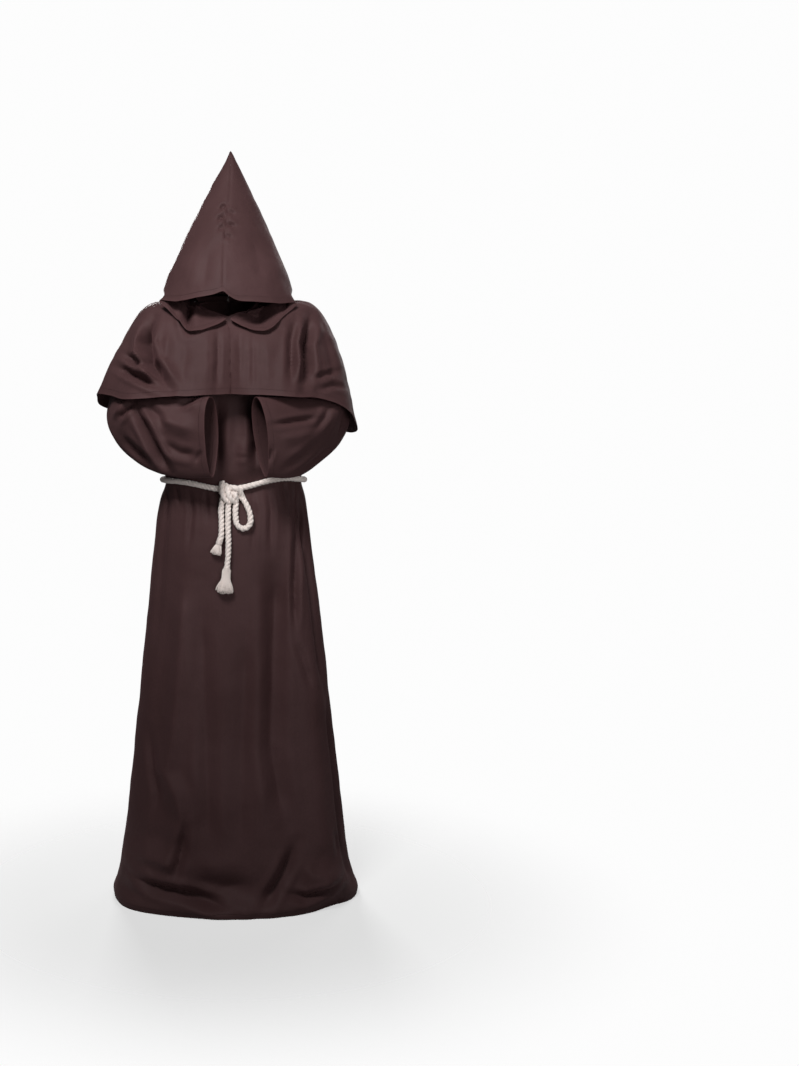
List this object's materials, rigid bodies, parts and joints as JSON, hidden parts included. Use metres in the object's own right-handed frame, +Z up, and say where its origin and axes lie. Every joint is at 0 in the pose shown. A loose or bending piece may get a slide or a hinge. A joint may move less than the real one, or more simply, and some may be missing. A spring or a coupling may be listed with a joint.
{
  "type": "franciscan monk habit",
  "caption": "Floor-length hooded habit in its worn form: robe with bell sleeves, shoulder cape with a tall pointed hood, and a knotted rope belt with loop and tails.",
  "frame": {"origin": "middle of the neck between the shoulders, where the wearer carries the habit", "axes": "+Z up, +X to the habit's left, the front faces -Y"},
  "size_m": [0.6295, 0.4286, 1.7762],
  "materials": {
    "habit_cloth": "dark brown smooth polyester with a soft satin sheen",
    "rope": "cream twisted cotton rope, matte"
  },
  "bodies": {
    "root": {"robe_front": "habit_cloth", "robe_back": "habit_cloth", "sleeve_right": "habit_cloth", "sleeve_left": "habit_cloth", "cape_right": "habit_cloth", "cape_left": "habit_cloth", "hood_right": "habit_cloth", "hood_left": "habit_cloth", "belt_rope": "rope", "belt_knot": "rope", "belt_loop": "rope", "belt_tail_short": "rope", "belt_tail_long": "rope", "tassel_tail_short": "rope", "tassel_tail_long": "rope"}
  },
  "joints": []
}
